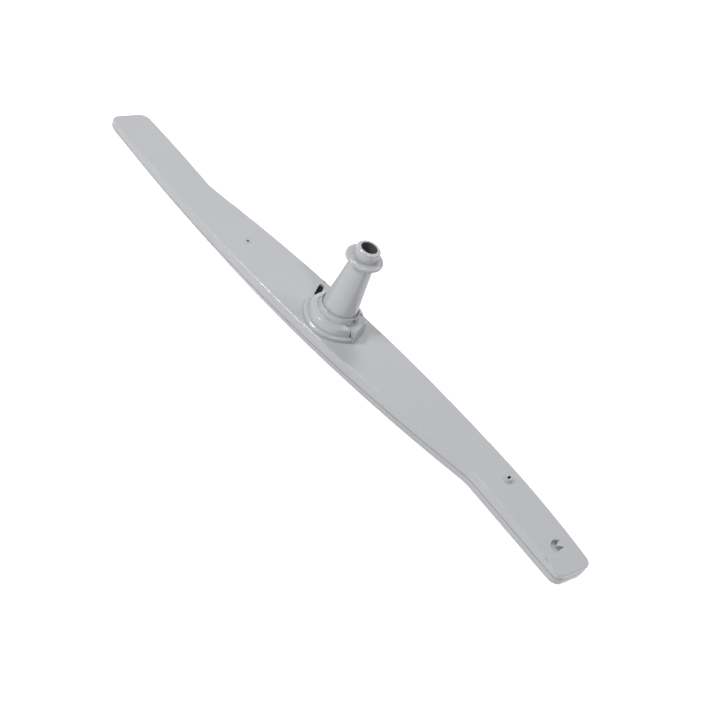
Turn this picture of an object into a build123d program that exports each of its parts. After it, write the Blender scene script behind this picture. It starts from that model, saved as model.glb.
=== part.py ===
from build123d import *

# Dishwasher spray arm, in millimetres. +Z runs along the feed tube, +X along the arm, and the origin
# lies under the tube on the jet face. Two moulded shells are welded into a hollow arm, the feed tube
# turns in the arm's hub, and a bayonet ring holds the tube's foot there.
import os
from math import sqrt

# Plan outline of the arm, which repeats itself after half a turn about the tube
TIP_REACH = 230.3        # from the tube's axis to the end edge, on the centre line
END_RAKE = 0.17          # lean of the end edge: X gained for each unit of Y
LEAD_TIP_Y = 17.6        # leading edge at the tip
TRAIL_TIP_Y = 11.6       # trailing edge at the tip, on the other side of the centre line
KINK_FROM_TIP = 88.3     # where the trailing edge turns outwards again
KINK_Y = 4.8
KNEE_FROM_TIP = 114.3    # inboard of this knee the leading edge of the jet face has its own bow
BOW_RADIUS = 1127.0      # long curve of the leading edge, from one kink to the other arm's tip
KINK_ROUND = 26.0        # plan radii of the corners
TRAIL_ROUND = 7.0
LEAD_ROUND = 6.0

# Heights and walls of the two shells
ARM_HEIGHT = 12.4        # jet face to tube-side face, in the middle of the arm
FALL_LENGTH = 80.3       # the tube-side face is level, and falls over this length at each end
TIP_DROP = 2.7           # by this much at the tip
SEAM_HEIGHT = 5.2        # welded seam above the jet face
WALL = 2.0
PLATE = 2.0
EDGE_ROUND = 0.9         # on the rim of the tube-side face
UNDER_BEVEL = 0.5
UNDER_KNEE_INSET = 3.8   # the leading edge of the jet face is tucked in under the seam
UNDER_TIP_INSET = 2.6
UNDER_BOW_TIGHTER = 81.0  # off the bow's radius, for the tucked edge up to the knee
UNDER_OUTER_RADIUS = 5000.0  # from the knee to the tip
SEAM_GROOVE_DEPTH = 0.25
SEAM_GROOVE_HEIGHT = 0.4
WELD_LIP = 1.0           # welding lip of the lower shell, inside the upper wall
WELD_LIP_HEIGHT = 1.8
WELD_LIP_FIT = 0.15

# Hub turret on the tube-side face; heights are above that face
HUB_TURN = 21.0          # the latch's direction, from the arm's length
HUB_BORE_RADIUS = 15.2
GROOVE_DEPTH = 2.2       # inside groove under the roof, for the ring's lugs
GROOVE_HEIGHT = 3.1
DRUM_WALL = 3.8
DRUM_DRAFT = 0.8
DRUM_BEVEL = 0.5
ROOF_THICKNESS = 2.1     # over the groove, at the drum's rim
ROOF_RISE = 1.7          # the drum's roof climbs towards the ring
DISC_LEDGE = 2.4         # the disc stands out from the drum's foot
DISC_HEIGHT = 3.2
DISC_BEVEL = 0.7
INLET_RADIUS = 10.6      # hole from the tube into the arm
LATCH_HALF = 9.7         # latch window, on one side of the hub
LATCH_SHIFT = -1.05
LATCH_PROUD = 0.3        # the latch's sloped face stands out from the drum at the top
LATCH_FOOT_PROUD = 0.7   # and at the foot, level with the edge of the pad under it
LATCH_RISE = 0.2         # its top stands above the drum's rim
PAD_MARGIN = 0.6         # the pad runs past the latch's sides
SLIT_WIDTH = 1.1         # relief slit in the pad, below each side of the latch
SLIT_DEPTH = 2.4

# Retaining ring
RING_WALL = 1.75
COLLAR_WALL = 1.5        # of the collar above the roof, at its foot
COLLAR_HEIGHT = 3.75
LIP_WALL = 0.8           # and at its lip
LUG_GAP = 0.4
LUG_HEIGHT = 2.4
LUG_ARC = 44.0
LATCH_THICKNESS = 3.0
KEY_START = -6.8         # key windows through the collar, below its lip
KEY_END = -2.4
KEY_SINK = 0.9           # they reach below the roof's inner edge
KEY_LINTEL = 0.85        # and leave this much of the lip above them

# Feed tube
RUN_GAP = 0.3            # free space between pieces that don't guide each other
JOURNAL_GAP = 0.08       # running clearance of the tube in the ring
FOOT_THICKNESS = 2.5
JOURNAL_SINK = 1.25      # the journal ends this far below the ring's lip
STEM_SHOULDER = 0.82     # step from the journal to the stem
STEM_SHOULDER_HEIGHT = 1.6
STEM_TOP_RADIUS = 8.4
STOP_BOTTOM = 55.0       # stop flange that seats against the water outlet
STOP_THICKNESS = 3.2
STOP_RADIUS = 13.1
STOP_BEVEL = 1.0
SPIGOT_RADIUS = 8.3
SPIGOT_LENGTH = 7.6
SPIGOT_BEVEL = 1.1
SPIGOT_WALL = 2.65
BORE_DEPTH = 35.8        # narrow part of the bore, below the spigot's mouth
STEM_BORE_RADIUS = 8.6   # wide part, from there to the foot

# Openings in the tube-side face
WEEP_PLACE = (-84.8, -7.2)
WEEP_RADIUS = 0.9
WEEP_RIM = 1.8
WEEP_RIM_HEIGHT = 0.5
NOZZLE_FROM_TIP = 71.5
NOZZLE_Y = 12.9
NOZZLE_TURN = 90.0
NOZZLE_FOOT_RADIUS = 3.1
NOZZLE_TOP_RADIUS = 2.3
NOZZLE_HEIGHT = 2.6
NOZZLE_SLOT = 3.4
NOZZLE_SLOT_WIDTH = 1.7
SCOOP_FROM_TIP = 17.3
SCOOP_Y = 5.3
SCOOP_RADIUS = 6.2
SCOOP_FLAT = 1.1         # flat wall of the scoop, beyond the round part's centre
SCOOP_DEPTH = 3.4        # at the deep end of the sloped floor
SCOOP_MOUTH_DEPTH = 1.8  # and at the shallow end
SCOOP_HOLE_RADIUS = 0.6
SCOOP_BACKING = 1.5      # wall left round the scoop, inside the arm
TONGUE_POINT = (-2.2, -0.9)  # of the tongue that covers one corner of the scoop
TONGUE_SIDE_TURN = 110.0  # direction of its bevelled side
TONGUE_FOOT_TURN = 54.3  # and of the side towards the flat wall
TONGUE_BEVEL = 0.9
RIM_HOLE_X = -31.0       # small blind hole in the rim, past the end of the slot
RIM_HOLE_INSET = 1.2
RIM_HOLE_RADIUS = 0.7
RIM_HOLE_DEPTH = 3.0
FACE_SLOT_PLACE = (-26.1, 10.4)
FACE_SLOT_TURN = 119.0
FACE_SLOT_LENGTH = 14.6
FACE_SLOT_WIDTH = 3.8

# Wash jets in the jet face, the same on both arms
JET_COUNT = 4            # on each arm
JET_FIRST = 58.0
JET_FROM_TIP = 36.3      # the last one
JET_TURN = 20.0          # to either side by turns
JET_SLOT = 7.0
JET_SLOT_WIDTH = 2.2

FAR = 300.0              # larger than the arm, for cutting blocks

# Places and heights that follow from these sizes; heights in the hub are above the tube-side face
KINK_X = TIP_REACH - KINK_FROM_TIP
KNEE_X = TIP_REACH - KNEE_FROM_TIP
LEVEL_HALF = TIP_REACH - FALL_LENGTH
GROOVE_RADIUS = HUB_BORE_RADIUS + GROOVE_DEPTH
GROOVE_TOP = DISC_HEIGHT + GROOVE_HEIGHT
DRUM_RADIUS = HUB_BORE_RADIUS + DRUM_WALL
DRUM_FOOT_RADIUS = DRUM_RADIUS + DRUM_DRAFT
DRUM_HEIGHT = GROOVE_TOP + ROOF_THICKNESS
ROOF_TOP = DRUM_HEIGHT + ROOF_RISE
DISC_RADIUS = DRUM_FOOT_RADIUS + DISC_LEDGE
LATCH_FOOT = DRUM_FOOT_RADIUS + LATCH_FOOT_PROUD
SLEEVE_RADIUS = HUB_BORE_RADIUS - RUN_GAP / 2
RING_BORE_RADIUS = SLEEVE_RADIUS - RING_WALL
RING_TOP = ROOF_TOP + COLLAR_HEIGHT


def half_turn(shape):
    """The same shape after half a turn about the tube."""
    return Rot(0, 0, 180) * shape


def end_point(y):
    """Point of the raked end edge at a distance from the centre line."""
    return (TIP_REACH + END_RAKE * y, y)


def bow_y(x):
    """Leading edge of the right-hand arm at a distance along it."""
    tip = Vector(*end_point(LEAD_TIP_Y))
    start = Vector(-KINK_X, KINK_Y)
    chord = tip - start
    middle = (tip + start) / 2
    away = Vector(-chord.Y, chord.X).normalized()
    centre = middle - away * sqrt(BOW_RADIUS**2 - (chord.length / 2) ** 2)
    return centre.Y + sqrt(BOW_RADIUS**2 - (x - centre.X) ** 2)


def trail_y(x):
    """Trailing edge of the right-hand arm at a distance along it."""
    if x <= KINK_X:
        return -bow_y(-x)
    share = (x - KINK_X) / (end_point(-TRAIL_TIP_Y)[0] - KINK_X)
    return -KINK_Y - share * (TRAIL_TIP_Y - KINK_Y)


def plan_outline(knee_inset=0.0, tip_inset=0.0, inner_bow=BOW_RADIUS, outer_bow=BOW_RADIUS):
    """Plan face of the arm, with its leading edges moved in at the knee and the tip."""
    far_kink = (-KINK_X, KINK_Y)
    knee = (KNEE_X, bow_y(KNEE_X) - knee_inset)
    lead_tip = end_point(LEAD_TIP_Y - tip_inset)
    trail_tip = end_point(-TRAIL_TIP_Y)
    kink = (KINK_X, -KINK_Y)
    half = [
        RadiusArc(far_kink, knee, inner_bow),
        RadiusArc(knee, lead_tip, outer_bow),
        Line(lead_tip, trail_tip),
        Line(trail_tip, kink),
    ]
    face = make_face(half + [half_turn(edge) for edge in half])
    corners = ((kink, KINK_ROUND), (trail_tip, TRAIL_ROUND), (lead_tip, LEAD_ROUND))
    for place, radius in corners:
        spots = (Vector(*place), Vector(-place[0], -place[1]))
        chosen = [v for v in face.vertices() if min((Vector(v) - spot).length for spot in spots) < WALL / 2]
        face = fillet(chosen, radius)
    return face


def inner_outline(face, inset):
    """The outline moved inwards by a wall's thickness."""
    return offset(face, amount=-inset)


def lifted(face, bottom, top):
    """A plan face as a block between two heights."""
    return Pos(0, 0, bottom) * extrude(face, amount=top - bottom)


def below_top(lowered):
    """Everything under the tube-side face, or under a surface at a plate's depth below it."""
    level = ARM_HEIGHT - lowered
    reach = end_point(LEAD_TIP_Y)[0]
    past = (reach, level - TIP_DROP)
    shoulder = (LEVEL_HALF, level)
    right = TangentArc(shoulder, past, tangent=(1, 0))
    left = mirror(right, Plane.YZ)
    middle = Line((-LEVEL_HALF, level), shoulder)
    down = Polyline(past, (reach, -PLATE), (-reach, -PLATE), (-reach, level - TIP_DROP))
    profile = make_face([left, middle, right, down])
    return extrude(Plane.XZ * profile, amount=FAR, both=True)


def level_at(x):
    """Height of the tube-side face at a distance along the arm."""
    run = max(0.0, abs(x) - LEVEL_HALF)
    full_run = end_point(LEAD_TIP_Y)[0] - LEVEL_HALF
    drop_radius = (full_run**2 + TIP_DROP**2) / (2 * TIP_DROP)
    return ARM_HEIGHT - drop_radius + sqrt(drop_radius**2 - run**2)


def revolved(points):
    """A closed profile of (radius, height) points turned about the tube's axis, heights from the face."""
    profile = make_face(Polyline(*[(r, ARM_HEIGHT + z) for r, z in points], close=True))
    return revolve(Plane.XZ * profile, Axis.Z)


def hub_box(near, far, start, end, bottom, top):
    """A block in the hub, measured along and across the bayonet's cross line."""
    block = Box(far - near, end - start, top - bottom, align=(Align.MIN, Align.MIN, Align.MIN))
    return Rot(0, 0, HUB_TURN) * Pos(near, start, ARM_HEIGHT + bottom) * block


def edges_at(shape, radius, height):
    """Round edges of a turned shape at a radius and a height above the face."""
    found = []
    for edge in shape.edges().filter_by(GeomType.CIRCLE):
        right_size = abs(edge.radius - radius) < RUN_GAP / 4
        if right_size and abs(edge.center().Z - ARM_HEIGHT - height) < RUN_GAP / 4:
            found.append(edge)
    return found


def hub_turret():
    """Disc, drum and roof of the hub, with the lug groove, the latch window and the pad under the latch."""
    turret = revolved([
        (HUB_BORE_RADIUS, -PLATE / 2),
        (DISC_RADIUS, -PLATE / 2),
        (DISC_RADIUS, DISC_HEIGHT),
        (DRUM_FOOT_RADIUS, DISC_HEIGHT),
        (DRUM_RADIUS, DRUM_HEIGHT),
        (HUB_BORE_RADIUS, ROOF_TOP),
        (HUB_BORE_RADIUS, GROOVE_TOP),
        (GROOVE_RADIUS, GROOVE_TOP),
        (GROOVE_RADIUS, DISC_HEIGHT),
        (HUB_BORE_RADIUS, DISC_HEIGHT),
    ])
    turret = chamfer(edges_at(turret, DISC_RADIUS, DISC_HEIGHT), DISC_BEVEL)
    turret = chamfer(edges_at(turret, DRUM_RADIUS, DRUM_HEIGHT), DRUM_BEVEL)
    start = LATCH_SHIFT - LATCH_HALF
    end = LATCH_SHIFT + LATCH_HALF
    pad_start = start - PAD_MARGIN
    pad_end = end + PAD_MARGIN
    turret -= hub_box(LATCH_FOOT, FAR, -FAR, FAR, 0, FAR)
    turret += hub_box(GROOVE_RADIUS, LATCH_FOOT, pad_start, pad_end, 0, DISC_HEIGHT)
    turret -= hub_box(0, FAR, start - RUN_GAP, end + RUN_GAP, DISC_HEIGHT, FAR)
    for side in (start, end - SLIT_WIDTH):
        turret -= hub_box(LATCH_FOOT - SLIT_DEPTH, FAR, side, side + SLIT_WIDTH, 0, FAR)
    return turret


def upper_shell():
    """Tube-side shell: skirt, face plate, hub turret and the openings in the face."""
    outline = plan_outline()
    body = lifted(outline, SEAM_HEIGHT, ARM_HEIGHT + PLATE) & below_top(0.0)
    rim = [e for e in body.edges() if is_face_rim(e)]
    body = fillet(rim, EDGE_ROUND)
    hollow = lifted(inner_outline(outline, WALL), 0.0, ARM_HEIGHT + PLATE) & below_top(PLATE)
    body -= hollow
    body += hub_turret()
    body -= Pos(0, 0, ARM_HEIGHT) * Cylinder(INLET_RADIUS, FAR)
    slot = Rot(0, 0, FACE_SLOT_TURN) * SlotOverall(FACE_SLOT_LENGTH, FACE_SLOT_WIDTH)
    body -= Pos(*FACE_SLOT_PLACE, ARM_HEIGHT) * extrude(slot, amount=2 * PLATE, both=True)
    blind = Pos(RIM_HOLE_X, bow_y(RIM_HOLE_X) - RIM_HOLE_INSET, ARM_HEIGHT)
    body -= blind * Cylinder(RIM_HOLE_RADIUS, 2 * RIM_HOLE_DEPTH)
    body = add_weep_hole(body)
    body = add_nozzle(body)
    return add_scoop(body, hollow)


def is_face_rim(edge):
    """Whether an edge runs round the tube-side face, not across it or down the skirt."""
    ends = [edge.position_at(0), edge.position_at(1)]
    high = min(end.Z for end in ends) > SEAM_HEIGHT + EDGE_ROUND
    across = all(abs(abs(end.X) - LEVEL_HALF) < EDGE_ROUND / 10 for end in ends)
    return high and not across


def add_weep_hole(body):
    """Small drain hole with a low moulded rim."""
    spot = Pos(*WEEP_PLACE, level_at(WEEP_PLACE[0]))
    low = (Align.CENTER, Align.CENTER, Align.MIN)
    body += spot * Pos(0, 0, -PLATE / 2) * Cylinder(WEEP_RIM, PLATE / 2 + WEEP_RIM_HEIGHT, align=low)
    return body - spot * Cylinder(WEEP_RADIUS, 4 * PLATE)


def add_nozzle(body):
    """Raised cone with an oval mouth."""
    x = TIP_REACH - NOZZLE_FROM_TIP
    spot = Pos(x, NOZZLE_Y, level_at(x))
    low = (Align.CENTER, Align.CENTER, Align.MIN)
    sunk = PLATE / 2
    foot = spot * Pos(0, 0, -sunk)
    body += foot * Cylinder(NOZZLE_FOOT_RADIUS, sunk, align=low)
    body += spot * Cone(NOZZLE_FOOT_RADIUS, NOZZLE_TOP_RADIUS, NOZZLE_HEIGHT, align=low)
    mouth = Rot(0, 0, NOZZLE_TURN) * SlotOverall(NOZZLE_SLOT, NOZZLE_SLOT_WIDTH)
    return body - spot * extrude(mouth, amount=FAR / 10, both=True)


def add_scoop(body, hollow):
    """Half-round reaction scoop: a sloped floor, a bevelled tongue over one corner and a jet hole."""
    x = TIP_REACH - SCOOP_FROM_TIP
    y = SCOOP_Y
    top = level_at(x)
    spot = Pos(x, y, 0)
    wide = SCOOP_RADIUS + SCOOP_BACKING
    depth = SCOOP_DEPTH + SCOOP_BACKING
    backing = spot * Pos(0, 0, top - PLATE) * Cylinder(wide, 2 * (depth - PLATE))
    body += backing & hollow
    disc = spot * Circle(SCOOP_RADIUS)
    keep = spot * Pos(SCOOP_FLAT, 0) * Rectangle(FAR, FAR, align=(Align.MAX, Align.CENTER))
    point = spot * Pos(*TONGUE_POINT)
    reach = Vector(3 * SCOOP_RADIUS, 0)
    foot_end = reach.rotate(Axis.Z, TONGUE_FOOT_TURN)
    side_end = reach.rotate(Axis.Z, TONGUE_SIDE_TURN)
    tongue = point * make_face(Polyline((0, 0), foot_end, side_end, close=True))
    opening = disc & keep - tongue
    slope = Plane.YZ.offset(x - FAR / 2) * make_face(Polyline(
        (y - SCOOP_RADIUS, top - SCOOP_MOUTH_DEPTH),
        (y + SCOOP_RADIUS, top - SCOOP_DEPTH),
        (y + SCOOP_RADIUS, top + PLATE),
        (y - SCOOP_RADIUS, top + PLATE),
        close=True,
    ))
    body -= lifted(opening, 0, ARM_HEIGHT + PLATE) & extrude(slope, amount=FAR)
    square = TONGUE_BEVEL * sqrt(2)
    bar = Rot(45, 0, 0) * Box(2 * SCOOP_RADIUS, square, square)
    bar = point * Pos(0, 0, top) * Rot(0, 0, TONGUE_SIDE_TURN) * bar
    body -= bar & lifted(disc & tongue, 0, ARM_HEIGHT + PLATE)
    hole = spot * Pos(SCOOP_FLAT - SCOOP_HOLE_RADIUS, SCOOP_HOLE_RADIUS)
    return body - hole * Cylinder(SCOOP_HOLE_RADIUS, 2 * (top + PLATE))


def wash_jet(x, turn):
    """Cutter for one jet: a slot through the jet face, midway between the arm's edges."""
    y = (bow_y(x) + trail_y(x)) / 2
    slot = Rot(0, 0, turn) * SlotOverall(JET_SLOT, JET_SLOT_WIDTH)
    return Pos(x, y, 0) * extrude(slot, amount=PLATE, both=True)


def lower_shell():
    """Jet-side shell: sides that tuck in under the leading edges, welding lip and wash jets."""
    outline = plan_outline()
    tucked_bow = BOW_RADIUS - UNDER_BOW_TIGHTER
    under = plan_outline(UNDER_KNEE_INSET, UNDER_TIP_INSET, tucked_bow, UNDER_OUTER_RADIUS)
    groove_bottom = SEAM_HEIGHT - SEAM_GROOVE_HEIGHT
    sections = [
        inner_outline(under, UNDER_BEVEL),
        Pos(0, 0, UNDER_BEVEL) * under,
        Pos(0, 0, groove_bottom) * outline,
    ]
    body = loft(sections, ruled=True)
    body += lifted(inner_outline(outline, SEAM_GROOVE_DEPTH), groove_bottom, SEAM_HEIGHT)
    lip = inner_outline(outline, WALL + WELD_LIP_FIT)
    body += lifted(lip, SEAM_HEIGHT - PLATE, SEAM_HEIGHT + WELD_LIP_HEIGHT)
    room = inner_outline(outline, WALL + WELD_LIP_FIT + WELD_LIP)
    floor = inner_outline(under, WALL + WELD_LIP)
    body -= loft([Pos(0, 0, PLATE) * floor, Pos(0, 0, SEAM_HEIGHT) * room], ruled=True)
    body -= lifted(room, SEAM_HEIGHT, ARM_HEIGHT)
    spacing = (TIP_REACH - JET_FROM_TIP - JET_FIRST) / (JET_COUNT - 1)
    for number in range(JET_COUNT):
        jet = wash_jet(JET_FIRST + number * spacing, JET_TURN * (-1) ** number)
        body -= jet
        body -= half_turn(jet)
    return body


def retaining_ring():
    """Bayonet ring: sleeve, collar with a thin lip, two lugs, the latch and two key windows."""
    bottom = RUN_GAP + FOOT_THICKNESS + RUN_GAP
    ring = revolved([
        (RING_BORE_RADIUS, bottom),
        (SLEEVE_RADIUS, bottom),
        (SLEEVE_RADIUS, ROOF_TOP),
        (RING_BORE_RADIUS + COLLAR_WALL, ROOF_TOP),
        (RING_BORE_RADIUS + LIP_WALL, RING_TOP),
        (RING_BORE_RADIUS, RING_TOP),
    ])
    lug_root = SLEEVE_RADIUS - RING_WALL / 2
    lug_radius = GROOVE_RADIUS - LUG_GAP
    lug_top = ARM_HEIGHT + GROOVE_TOP - RUN_GAP
    lug = make_face(Polyline(
        (lug_root, lug_top - LUG_HEIGHT),
        (lug_radius, lug_top - LUG_HEIGHT),
        (lug_radius, lug_top),
        (lug_root, lug_top),
        close=True,
    ))
    lug = revolve(Plane.XZ * lug, Axis.Z, LUG_ARC)
    lug = Rot(0, 0, HUB_TURN + 90 - LUG_ARC / 2) * lug
    ring += lug
    ring += half_turn(lug)
    ring += latch()
    key = hub_box(0, lug_radius, KEY_START, KEY_END, ROOF_TOP - KEY_SINK, RING_TOP - KEY_LINTEL)
    ring -= key
    return ring - half_turn(key)


def latch():
    """Latch block in the hub's window: a web from the sleeve and a sloped outer face."""
    top = DRUM_HEIGHT + LATCH_RISE
    web = top - LATCH_THICKNESS
    foot = DISC_HEIGHT + RUN_GAP
    face = DRUM_RADIUS + LATCH_PROUD
    side = make_face(Polyline(
        (0, web),
        (face - LATCH_THICKNESS, web),
        (LATCH_FOOT - LATCH_THICKNESS, foot),
        (LATCH_FOOT, foot),
        (face, top),
        (0, top),
        close=True,
    ))
    block = extrude(Plane.XZ * side, amount=LATCH_HALF, both=True)
    block = Rot(0, 0, HUB_TURN) * Pos(0, LATCH_SHIFT, ARM_HEIGHT) * block
    return block - Pos(0, 0, ARM_HEIGHT) * Cylinder(SLEEVE_RADIUS - RING_WALL / 2, FAR)


def feed_tube():
    """Feed tube: foot flange, journal, tapered stem, stop flange and spigot, bored through."""
    foot_top = RUN_GAP + FOOT_THICKNESS
    stop_top = STOP_BOTTOM + STOP_THICKNESS
    spigot_top = stop_top + SPIGOT_LENGTH
    bore = SPIGOT_RADIUS - SPIGOT_WALL
    bore_bottom = spigot_top - BORE_DEPTH
    journal_top = RING_TOP - JOURNAL_SINK
    foot_radius = HUB_BORE_RADIUS - RUN_GAP
    journal = RING_BORE_RADIUS - JOURNAL_GAP
    tube = revolved([
        (STEM_BORE_RADIUS, RUN_GAP),
        (foot_radius, RUN_GAP),
        (foot_radius, foot_top),
        (journal, foot_top),
        (journal, journal_top),
        (journal - STEM_SHOULDER, journal_top + STEM_SHOULDER_HEIGHT),
        (STEM_TOP_RADIUS, STOP_BOTTOM),
        (STOP_RADIUS, STOP_BOTTOM),
        (STOP_RADIUS, stop_top),
        (SPIGOT_RADIUS, stop_top),
        (SPIGOT_RADIUS, spigot_top),
        (bore, spigot_top),
        (bore, bore_bottom),
        (STEM_BORE_RADIUS, bore_bottom),
    ])
    rims = edges_at(tube, STOP_RADIUS, STOP_BOTTOM) + edges_at(tube, STOP_RADIUS, stop_top)
    tube = chamfer(rims, STOP_BEVEL)
    return chamfer(edges_at(tube, SPIGOT_RADIUS, spigot_top), SPIGOT_BEVEL)


NODES = {
    "upper_shell": upper_shell,
    "lower_shell": lower_shell,
    "retaining_ring": retaining_ring,
    "feed_tube": feed_tube,
}

os.makedirs("parts", exist_ok=True)
for name, make in NODES.items():
    export_step(make(), f"parts/{name}.step")
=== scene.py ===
"""Looks of a dishwasher spray arm: moulded shells, bayonet ring, feed tube and weld bead."""

import logging
from dataclasses import dataclass, field
from enum import Enum
from math import cos, radians, sin

import bmesh
import bpy
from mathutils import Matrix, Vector


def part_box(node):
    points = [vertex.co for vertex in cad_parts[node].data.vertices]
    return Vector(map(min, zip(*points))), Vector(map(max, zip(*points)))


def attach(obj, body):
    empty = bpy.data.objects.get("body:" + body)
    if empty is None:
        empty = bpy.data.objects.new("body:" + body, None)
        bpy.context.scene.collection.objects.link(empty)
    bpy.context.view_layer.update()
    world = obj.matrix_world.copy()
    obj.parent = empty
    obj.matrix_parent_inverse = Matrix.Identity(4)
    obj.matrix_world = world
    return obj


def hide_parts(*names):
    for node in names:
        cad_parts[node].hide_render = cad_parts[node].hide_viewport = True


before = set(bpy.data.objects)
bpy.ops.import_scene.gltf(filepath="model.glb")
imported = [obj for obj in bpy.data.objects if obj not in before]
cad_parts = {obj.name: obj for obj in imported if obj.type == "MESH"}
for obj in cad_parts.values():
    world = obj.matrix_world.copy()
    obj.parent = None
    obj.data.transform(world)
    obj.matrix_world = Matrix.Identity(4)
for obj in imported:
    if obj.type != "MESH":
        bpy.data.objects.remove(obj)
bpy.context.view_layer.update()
LOG = logging.getLogger("spray_arm")

# Lengths are in metres, apart from those whose name ends in _mm
MM = 0.001
SEAM_HEIGHT = 5.2 * MM
SEAM_TOLERANCE = 0.01 * MM
ARM_TOP = 12.5 * MM
MERGE_DISTANCE = 0.002 * MM
FLAT_DEGREES = 0.4  # facets that meet at less than this become one face
UPRIGHT_RISE = 0.5  # sine of 30 degrees
ROUND_PROFILE = 0.5  # bevel profile that is an arc
WHITE = "#FFFFFF"
BLACK = "#000000"


class Body(Enum):
    """Bodies of the joint that the pieces ride on."""

    FEED = "feed"
    ARM = "spray_arm"


class Slot(Enum):
    """Material slots of the record."""

    PLASTIC = "moulded_plastic"


def linear(hex_colour: str) -> tuple[float, float, float, float]:
    """Turns an sRGB hex colour into linear RGBA.

    Args:
        hex_colour: Six hex digits with a leading hash.

    Returns:
        Linear red, green, blue and an alpha of one.
    """
    parts = [int(hex_colour[i : i + 2], 16) / 255 for i in (1, 3, 5)]
    r, g, b = (c / 12.92 if c <= 0.04045 else ((c + 0.055) / 1.055) ** 2.4 for c in parts)
    return (r, g, b, 1.0)


def add_node(
    tree: bpy.types.NodeTree, kind: str, inputs: dict[str | int, object] | None = None, **settings: str
) -> bpy.types.Node:
    """Adds a node with its settings, values and links.

    Args:
        tree: Tree that takes the node.
        kind: Node type.
        inputs: Values or source sockets, by the input's name or number.
        settings: The node's own options, such as its operation.

    Returns:
        The new node.
    """
    node = tree.nodes.new(kind)
    for name, option in settings.items():
        setattr(node, name, option)
    for key, value in (inputs or {}).items():
        if isinstance(value, bpy.types.NodeSocket):
            tree.links.new(value, node.inputs[key])
        else:
            node.inputs[key].default_value = value
    return node


def new_material(name: str) -> tuple[bpy.types.Material, bpy.types.NodeTree, bpy.types.Node]:
    """Makes a material with nodes.

    Args:
        name: Name of the material.

    Returns:
        The material, its node tree and the tree's main shader.
    """
    material = bpy.data.materials.new(name)
    material.use_nodes = True
    tree = material.node_tree
    return material, tree, tree.nodes["Principled BSDF"]


def seen_socket(tree: bpy.types.NodeTree) -> bpy.types.NodeSocket:
    """Adds nodes that tell a look from a light ray.

    Args:
        tree: Shader tree that takes the nodes.

    Returns:
        Socket that is one for what is seen directly, in a reflection or through glass.
    """
    ray = add_node(tree, "ShaderNodeLightPath").outputs
    seen = ray["Is Camera Ray"]
    for kind in ("Is Glossy Ray", "Is Transmission Ray"):
        seen = add_node(tree, "ShaderNodeMath", {0: seen, 1: ray[kind]}, operation="MAXIMUM").outputs[0]
    return seen


@dataclass(frozen=True)
class MouldedPlastic:
    """Injection-moulded polypropylene with a fine spark-eroded grain and faint flow shading."""

    name: str
    colour: str
    flow_colour: str
    roughness: float = 0.15
    roughness_spread: float = 0.03
    grain_mm: float = 0.9
    grain_depth_mm: float = 0.006
    grain_octaves: float = 3.0
    flow_mm: float = 60.0
    ior: float = 1.49

    def build(self) -> bpy.types.Material:
        """Builds the material, or finds it where another piece already wears it.

        Returns:
            The finished material.
        """
        worn = bpy.data.materials.get(self.name)
        if worn:
            return worn
        material, tree, shader = new_material(self.name)
        shader.inputs["IOR"].default_value = self.ior
        place = add_node(tree, "ShaderNodeTexCoord").outputs["Object"]
        # Cloudy, slow change of shade where the melt ran, seen only as a hint of tone
        flow = add_node(tree, "ShaderNodeTexNoise", {"Vector": place, "Scale": 1 / (self.flow_mm * MM)})
        tone = add_node(tree, "ShaderNodeValToRGB", {"Fac": flow.outputs["Fac"]})
        for stop, colour in zip(tone.color_ramp.elements, (self.colour, self.flow_colour)):
            stop.color = linear(colour)
        tree.links.new(tone.outputs["Color"], shader.inputs["Base Color"])
        # Spark-eroded grain, drawn coarser than the real 0.1 mm so that it survives at picture size
        grain_size = {"Scale": 1 / (self.grain_mm * MM), "Detail": self.grain_octaves}
        grain = add_node(tree, "ShaderNodeTexNoise", {"Vector": place, **grain_size}).outputs["Fac"]
        limits = {
            "To Min": self.roughness - self.roughness_spread,
            "To Max": self.roughness + self.roughness_spread,
        }
        rough = add_node(tree, "ShaderNodeMapRange", {"Value": grain, **limits})
        tree.links.new(rough.outputs["Result"], shader.inputs["Roughness"])
        bump = add_node(tree, "ShaderNodeBump", {"Height": grain, "Distance": self.grain_depth_mm * MM})
        tree.links.new(bump.outputs["Normal"], shader.inputs["Normal"])
        return material


# Cool pale grey with a soft sheen, whose highlights the grain breaks up a little at their edges
SHELL_FINISH = MouldedPlastic("Polypropylene shell, moulded with spark-eroded grain", "#BBBCBF", "#B6B7BA")
# A shade darker than the shells, with a shallower grain
RING_FINISH = MouldedPlastic(
    "Polypropylene ring, moulded with fine grain", "#B8B9BC", "#B3B4B7", grain_depth_mm=0.004
)
# Between the shells and the ring in tone, and the smoothest of the three, so its highlights are clean
TUBE_FINISH = MouldedPlastic("Polypropylene tube, moulded smooth", "#BABBBE", "#B5B6B9", grain_depth_mm=0.003)
# Dull, and painted darker than the plastic is: painted shade for the dim inside of the holes, so that they
# read at picture size
BORE_PAINTED_SHADE_FINISH = MouldedPlastic(
    "Polypropylene bore wall, dull from the core pin", "#5E5F62", "#58595C", roughness=0.6
)
# Less shiny than the shells, and painted darker: painted shade for the seam groove the bead lies in, so that
# the seam line reads at picture size
FLASH_PAINTED_SHADE_FINISH = MouldedPlastic("Polypropylene weld flash, painted with the groove's shade", "#77787B", "#717275", roughness=0.28)


def is_upright(face: bmesh.types.BMFace) -> bool:
    """Tells whether a face leans by less than 30 degrees from upright."""
    return abs(face.normal.z) < UPRIGHT_RISE


@dataclass(frozen=True)
class Opening:
    """Upright hole whose walls take the dull bore finish, with the hole's shade painted into its colour."""

    x_mm: float
    y_mm: float
    radius_mm: float

    def has_wall(self, face: bmesh.types.BMFace) -> bool:
        """Tells whether a face is part of the opening's wall.

        Args:
            face: Face of a merged shape.

        Returns:
            True for an upright face within the radius that looks towards the opening's axis.
        """
        inward = Vector((self.x_mm, self.y_mm)) * MM - face.calc_center_median().xy
        return is_upright(face) and inward.length < self.radius_mm * MM and inward.dot(face.normal.xy) > 0


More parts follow.
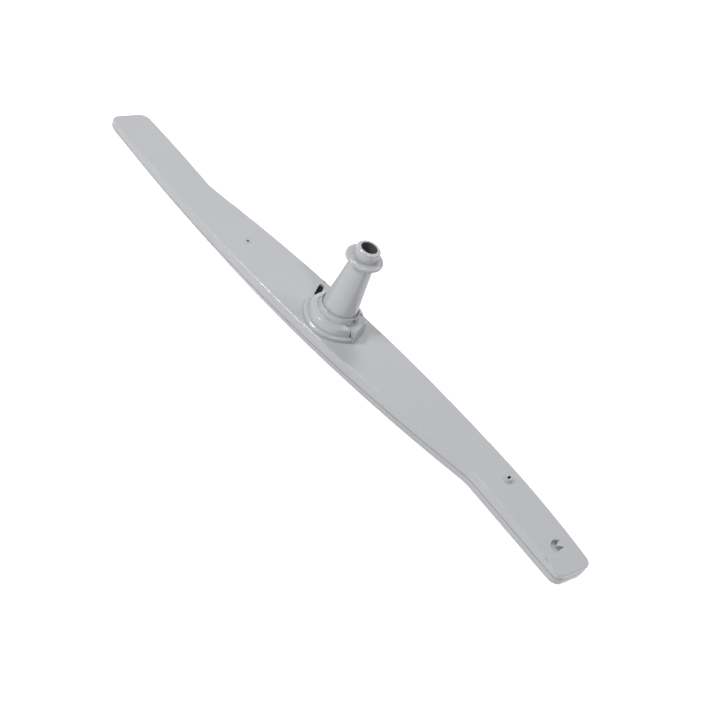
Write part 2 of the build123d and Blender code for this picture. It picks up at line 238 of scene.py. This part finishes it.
TUBE_MOUTH = Opening(0.0, 0.0, 9.0)
NOZZLE_MOUTH = Opening(158.8, 12.9, 1.8)
WEEP_HOLE = Opening(-84.8, -7.2, 1.0)
RIM_HOLE = Opening(-31.0, 20.6, 0.8)
SCOOP_HOLE = Opening(213.5, 5.9, 0.7)


def add_object(name: str, mesh: bpy.types.Mesh) -> bpy.types.Object:
    """Puts a mesh into the scene as an object at the origin.

    Args:
        name: Name of the object.
        mesh: Its mesh.

    Returns:
        The new object.
    """
    obj = bpy.data.objects.new(name, mesh)
    bpy.context.scene.collection.objects.link(obj)
    return obj


def bake_modifiers(obj: bpy.types.Object) -> None:
    """Turns an object's modifiers into plain mesh.

    Args:
        obj: Object whose modifiers are worked out and removed.
    """
    graph = bpy.context.evaluated_depsgraph_get()
    baked = bpy.data.meshes.new_from_object(obj.evaluated_get(graph), depsgraph=graph)
    old = obj.data
    obj.modifiers.clear()
    obj.data = baked
    bpy.data.meshes.remove(old)


def merged_shape(node: str) -> bmesh.types.BMesh:
    """Joins the loose facets of a CAD node and merges those that lie in one plane.

    Args:
        node: Name of the CAD node.

    Returns:
        The joined shape, to be freed by the caller.
    """
    shape = bmesh.new()
    shape.from_mesh(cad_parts[node].data)
    bmesh.ops.remove_doubles(shape, verts=shape.verts, dist=MERGE_DISTANCE)
    flat = radians(FLAT_DEGREES)
    bmesh.ops.dissolve_limit(shape, angle_limit=flat, verts=shape.verts, edges=shape.edges)
    return shape


@dataclass
class MouldedPiece:
    """A CAD node shown as a merged copy with softened edges.

    Facets of the arm's rounded rim meet at up to 32 degrees and count as smooth there. The hub has no
    such rim, and its chamfers meet their neighbours at 26 degrees and more, so its limit is lower.
    """

    node: str
    body: Body
    finish: MouldedPlastic
    openings: tuple[Opening, ...] = ()
    edge_mm: float = 0.16
    edge_steps: int = 2
    sharp_degrees: float = 34.0
    hub_sharp_degrees: float = 19.0
    smooth_degrees: float = 40.0
    large_face_weight: int = 80
    obj: bpy.types.Object = field(init=False)

    def is_sharp(self, edge: bmesh.types.BMEdge) -> bool:
        """Tells whether an edge is softened.

        Args:
            edge: Edge of the merged shape.

        Returns:
            True for an outward edge over the limit for its height.
        """
        on_hub = min(vert.co.z for vert in edge.verts) > ARM_TOP
        limit = radians(self.hub_sharp_degrees if on_hub else self.sharp_degrees)
        return edge.is_manifold and edge.calc_face_angle_signed() > limit

    def soften(self, shape: bmesh.types.BMesh) -> None:
        """Rounds the outward edges and keeps the result inside the node's box.

        Args:
            shape: Merged copy of the node.
        """
        bmesh.ops.bevel(
            shape,
            geom=[edge for edge in shape.edges if self.is_sharp(edge)],
            offset=self.edge_mm * MM,
            offset_type="OFFSET",
            segments=self.edge_steps,
            profile=ROUND_PROFILE,
            affect="EDGES",
            clamp_overlap=False,
            miter_outer="ARC",
        )
        low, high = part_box(self.node)
        for vert in shape.verts:
            vert.co = [min(max(value, a), b) for value, a, b in zip(vert.co, low, high)]
        bmesh.ops.remove_doubles(shape, verts=shape.verts, dist=MERGE_DISTANCE)

    def build(self) -> None:
        """Copies the node, softens its outward edges and evens out its shading."""
        shape = merged_shape(self.node)
        # Walls of the openings take the second material, whose dark colour is painted shade
        for face in shape.faces:
            face.material_index = int(any(opening.has_wall(face) for opening in self.openings))
        self.soften(shape)
        for face in shape.faces:
            face.smooth = True
        for edge in shape.edges:
            edge.smooth = edge.is_manifold and edge.calc_face_angle() < radians(self.smooth_degrees)
        mesh = bpy.data.meshes.new(f"{self.node}_moulding")
        shape.to_mesh(mesh)
        shape.free()
        self.obj = add_object(f"{self.node}_moulding", mesh)
        even = self.obj.modifiers.new("even_shading", "WEIGHTED_NORMAL")
        even.keep_sharp = True
        even.weight = self.large_face_weight
        bake_modifiers(self.obj)

    def dress(self) -> None:
        """Gives the piece its finish and its body, and hides its CAD node."""
        self.obj.data.materials.append(self.finish.build())
        # Second material: painted shade for the walls of the openings
        if self.openings:
            self.obj.data.materials.append(BORE_PAINTED_SHADE_FINISH.build())
        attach(self.obj, self.body.value)
        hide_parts(self.node)


@dataclass
class WeldBead:
    """Thin bead of remelted plastic that lies in the seam groove round the arm."""

    body: Body
    finish: MouldedPlastic
    radius_mm: float = 0.13
    inset_mm: float = 0.17
    below_seam_mm: float = 0.2
    spacing_mm: float = 1.6
    unevenness_mm: float = 0.03
    sides: int = 8
    seed: int = 7
    obj: bpy.types.Object = field(init=False)

    def seam_edges(self, shape: bmesh.types.BMesh) -> list[bmesh.types.BMEdge]:
        """Finds the longest ring of edges at the seam's height.

        Args:
            shape: Merged tube-side shell.

        Returns:
            Edges of the shell's outer wall, in the same order in every run.
        """
        level = [e for e in shape.edges if all(abs(v.co.z - SEAM_HEIGHT) < SEAM_TOLERANCE for v in e.verts)]
        waiting = dict.fromkeys(e for e in level if any(is_upright(f) for f in e.link_faces))
        best: list[bmesh.types.BMEdge] = []
        while waiting:
            ring = [next(iter(waiting))]
            del waiting[ring[0]]
            for edge in ring:
                near = [e for v in edge.verts for e in v.link_edges if e in waiting]
                for neighbour in near:
                    del waiting[neighbour]
                ring.extend(near)
            if sum(e.calc_length() for e in ring) > sum(e.calc_length() for e in best):
                best = ring
        return best

    def seam_path(self) -> bpy.types.Mesh:
        """Draws the bead's middle line inside the seam groove.

        Returns:
            A mesh of edges that runs round the arm.
        """
        shape = merged_shape("upper_shell")
        edges = self.seam_edges(shape)
        walls: dict[bmesh.types.BMVert, Vector] = {}
        for edge in edges:
            wall = next(f for f in edge.link_faces if is_upright(f))
            for vert in edge.verts:
                walls[vert] = walls.get(vert, Vector()) + wall.normal
        number = {vert: place for place, vert in enumerate(walls)}
        drop = Vector((0, 0, self.below_seam_mm * MM))
        points = [v.co - n.normalized() * self.inset_mm * MM - drop for v, n in walls.items()]
        path = bpy.data.meshes.new("seam_path")
        path.from_pydata(points, [tuple(number[v] for v in e.verts) for e in edges], [])
        shape.free()
        return path

    def bead_tree(self) -> bpy.types.NodeTree:
        """Builds the node tree that sweeps an uneven bead along a path.

        Returns:
            Geometry node tree with named inputs.
        """
        tree = bpy.data.node_groups.new("weld_bead", "GeometryNodeTree")
        sockets = (
            ("Path", "INPUT", "NodeSocketGeometry"),
            ("Bead radius", "INPUT", "NodeSocketFloat"),
            ("Point spacing", "INPUT", "NodeSocketFloat"),
            ("Unevenness", "INPUT", "NodeSocketFloat"),
            ("Seed", "INPUT", "NodeSocketInt"),
            ("Finish", "INPUT", "NodeSocketMaterial"),
            ("Bead", "OUTPUT", "NodeSocketGeometry"),
        )
        for name, way, kind in sockets:
            tree.interface.new_socket(name, in_out=way, socket_type=kind)
        given = add_node(tree, "NodeGroupInput").outputs
        curve = add_node(tree, "GeometryNodeMeshToCurve", {"Mesh": given["Path"]}).outputs["Curve"]
        spaced = {"Curve": curve, "Length": given["Point spacing"]}
        even = add_node(tree, "GeometryNodeResampleCurve", spaced, mode="LENGTH").outputs["Curve"]
        lowest = add_node(tree, "ShaderNodeMath", {0: given["Unevenness"], 1: -1.0}, operation="MULTIPLY")
        # Inputs 2 and 3 and output 1 of a random value are those for plain numbers
        spread = {2: lowest.outputs[0], 3: given["Unevenness"], "Seed": given["Seed"]}
        stray = add_node(tree, "FunctionNodeRandomValue", spread, data_type="FLOAT").outputs[1]
        lift = add_node(tree, "ShaderNodeCombineXYZ", {"Z": stray}).outputs["Vector"]
        moved = add_node(tree, "GeometryNodeSetPosition", {"Geometry": even, "Offset": lift})
        size = {"Resolution": self.sides, "Radius": given["Bead radius"]}
        ring = add_node(tree, "GeometryNodeCurvePrimitiveCircle", size).outputs["Curve"]
        sweep = {"Curve": moved.outputs["Geometry"], "Profile Curve": ring}
        swept = add_node(tree, "GeometryNodeCurveToMesh", sweep).outputs["Mesh"]
        smooth = add_node(tree, "GeometryNodeSetShadeSmooth", {"Geometry": swept}).outputs["Geometry"]
        real = add_node(tree, "GeometryNodeRealizeInstances", {"Geometry": smooth}).outputs["Geometry"]
        dressed = add_node(tree, "GeometryNodeSetMaterial", {"Geometry": real, "Material": given["Finish"]})
        add_node(tree, "NodeGroupOutput", {"Bead": dressed.outputs["Geometry"]})
        return tree

    def build(self) -> None:
        """Sweeps the bead along the seam."""
        self.obj = add_object("weld_bead", self.seam_path())
        sweep = self.obj.modifiers.new("weld_bead", "NODES")
        sweep.node_group = self.bead_tree()
        values = {
            "Bead radius": self.radius_mm * MM,
            "Point spacing": self.spacing_mm * MM,
            "Unevenness": self.unevenness_mm * MM,
            "Seed": self.seed,
            "Finish": self.finish.build(),
        }
        for socket in sweep.node_group.interface.items_tree:
            if socket.name in values:
                sweep[socket.identifier] = values[socket.name]
        bake_modifiers(self.obj)

    def dress(self) -> None:
        """Lets the bead ride on the arm."""
        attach(self.obj, self.body.value)


@dataclass(frozen=True)
class Softbox:
    """A soft light, placed by the turn from +X and the rise above the floor that it shines from."""

    name: str
    turn_degrees: float
    rise_degrees: float
    width: float
    height: float
    watts: float
    distance: float = 3.0

    def way(self) -> Vector:
        """Works out which way the light stands.

        Returns:
            Unit vector from the arm towards the light.
        """
        turn = radians(self.turn_degrees)
        rise = radians(self.rise_degrees)
        return Vector((cos(rise) * cos(turn), cos(rise) * sin(turn), sin(rise)))


@dataclass
class Studio:
    """White floor and wall, soft light and the camera of the photograph."""

    ambient: float = 0.28
    floor_half: float = 6.0
    floor_level_mm: float = -0.2
    floor_colour: str = "#EEEEEE"
    floor_roughness: float = 0.9
    floor_glow: float = 0.55
    shadow_reach: float = 0.9
    white_reach: float = 2.5
    wall_height: float = 2.0
    wall_panels: int = 48
    sensor_mm: float = 36.0
    lens_mm: float = 66.667
    camera_place: tuple[float, float, float] = (0.33448, -0.59848, 0.55831)
    camera_turn_degrees: tuple[float, float, float] = (47.109, -21.134, 46.017)
    softboxes: tuple[Softbox, ...] = (
        Softbox("behind", 142.0, 63.0, 0.22, 0.22, 3.55, 1.1),
        Softbox("front", 291.0, 26.0, 1.2, 1.2, 4.5),
        Softbox("right", 59.0, 56.0, 1.2, 1.2, 15.5),
        Softbox("near_rim", 235.0, 42.0, 0.7, 0.2, 22.0),
        Softbox("disc_rim", 244.0, 43.0, 0.2, 0.2, 11.5),
        Softbox("drum_rim", 245.0, 29.5, 0.2, 0.2, 7.0),
        Softbox("hub_front", 327.0, 49.0, 0.2, 0.2, 12.0),
    )

    def build_camera(self) -> None:
        """Sets the camera to the photograph's place, turn and lens."""
        camera = bpy.data.cameras.new("photo_camera")
        camera.sensor_width = self.sensor_mm
        camera.lens = self.lens_mm
        obj = bpy.data.objects.new("photo_camera", camera)
        obj.location = self.camera_place
        obj.rotation_euler = [radians(angle) for angle in self.camera_turn_degrees]
        bpy.context.scene.collection.objects.link(obj)
        bpy.context.scene.camera = obj

    def build_floor(self) -> None:
        """Lays a plain white floor under the arm."""
        half = self.floor_half
        corners = [(-half, -half), (half, -half), (half, half), (-half, half)]
        mesh = bpy.data.meshes.new("studio_floor")
        mesh.from_pydata([(x, y, self.floor_level_mm * MM) for x, y in corners], [], [(0, 1, 2, 3)])
        material, tree, shader = new_material("White studio floor")
        shader.inputs["Base Color"].default_value = linear(self.floor_colour)
        shader.inputs["Roughness"].default_value = self.floor_roughness
        shader.inputs["Emission Color"].default_value = linear(WHITE)
        # White to the eye and in reflections, with a faint shadow near the arm and none far away
        place = add_node(tree, "ShaderNodeTexCoord").outputs["Object"]
        reach = add_node(tree, "ShaderNodeVectorMath", {"Vector": place}, operation="LENGTH").outputs["Value"]
        limits = {"From Min": self.shadow_reach, "From Max": self.white_reach, "To Min": self.floor_glow}
        glow = add_node(tree, "ShaderNodeMapRange", {"Value": reach, **limits}).outputs["Result"]
        shown = add_node(tree, "ShaderNodeMath", {0: glow, 1: seen_socket(tree)}, operation="MULTIPLY")
        tree.links.new(shown.outputs[0], shader.inputs["Emission Strength"])
        mesh.materials.append(material)
        add_object("studio_floor", mesh)

    def build_wall(self) -> None:
        """Stands a low white wall round the floor, so that views from low down end in white too."""
        count = self.wall_panels
        turns = [radians(360 * step / count) for step in range(count)]
        level = self.floor_level_mm * MM
        foot = [(self.floor_half * cos(turn), self.floor_half * sin(turn), level) for turn in turns]
        rim = [(x, y, self.wall_height) for x, y, _ in foot]
        panels = []
        for step in range(count):
            following = (step + 1) % count
            panels.append((step, following, following + count, step + count))
        mesh = bpy.data.meshes.new("studio_wall")
        mesh.from_pydata(foot + rim, [], panels)
        material, tree, shader = new_material("White studio wall")
        shader.inputs["Base Color"].default_value = linear(BLACK)
        shader.inputs["Specular IOR Level"].default_value = 0.0
        shader.inputs["Emission Color"].default_value = linear(WHITE)
        # White to the eye and in reflections, as dim as the surround where it lights the arm
        glow = add_node(tree, "ShaderNodeMapRange", {"Value": seen_socket(tree), "To Min": self.ambient})
        tree.links.new(glow.outputs["Result"], shader.inputs["Emission Strength"])
        mesh.materials.append(material)
        add_object("studio_wall", mesh)

    def add_softbox(self, box: Softbox) -> None:
        """Hangs a softbox that faces the arm.

        Args:
            box: The softbox.
        """
        light = bpy.data.lights.new(box.name, "AREA")
        light.shape = "RECTANGLE"
        light.size = box.width
        light.size_y = box.height
        light.energy = box.watts
        obj = bpy.data.objects.new(box.name, light)
        obj.location = box.way() * box.distance
        obj.rotation_euler = (-box.way()).to_track_quat("-Z", "Y").to_euler()
        bpy.context.scene.collection.objects.link(obj)

    def build_light(self) -> None:
        """Sets the even white surround and the softboxes."""
        world = bpy.data.worlds.new("studio_surround")
        world.use_nodes = True
        surround = world.node_tree.nodes["Background"]
        surround.inputs["Color"].default_value = linear(WHITE)
        surround.inputs["Strength"].default_value = self.ambient
        bpy.context.scene.world = world
        for box in self.softboxes:
            self.add_softbox(box)

    def build(self) -> None:
        """Builds the whole studio."""
        self.build_camera()
        self.build_floor()
        self.build_wall()
        self.build_light()
        bpy.context.scene.view_settings.view_transform = "Standard"


def main() -> None:
    """Builds the arm piece by piece, then the studio."""
    logging.basicConfig(level=logging.INFO, format="%(name)s: %(message)s")
    face_openings = (NOZZLE_MOUTH, WEEP_HOLE, RIM_HOLE, SCOOP_HOLE)
    # The tube is round all over, so only its square edges count as sharp
    tube_limits = {"sharp_degrees": 50.0, "hub_sharp_degrees": 50.0, "smooth_degrees": 50.0}
    pieces = [
        MouldedPiece("upper_shell", Body.ARM, SHELL_FINISH, face_openings),
        MouldedPiece("lower_shell", Body.ARM, SHELL_FINISH),
        MouldedPiece("retaining_ring", Body.ARM, RING_FINISH),
        MouldedPiece("feed_tube", Body.FEED, TUBE_FINISH, (TUBE_MOUTH,), **tube_limits),
        WeldBead(Body.ARM, FLASH_PAINTED_SHADE_FINISH),
    ]
    for piece in pieces:
        piece.build()
        piece.dress()
        LOG.info("%s: %d faces", piece.obj.name, len(piece.obj.data.polygons))
    Studio().build()


if __name__ == "__main__":
    main()
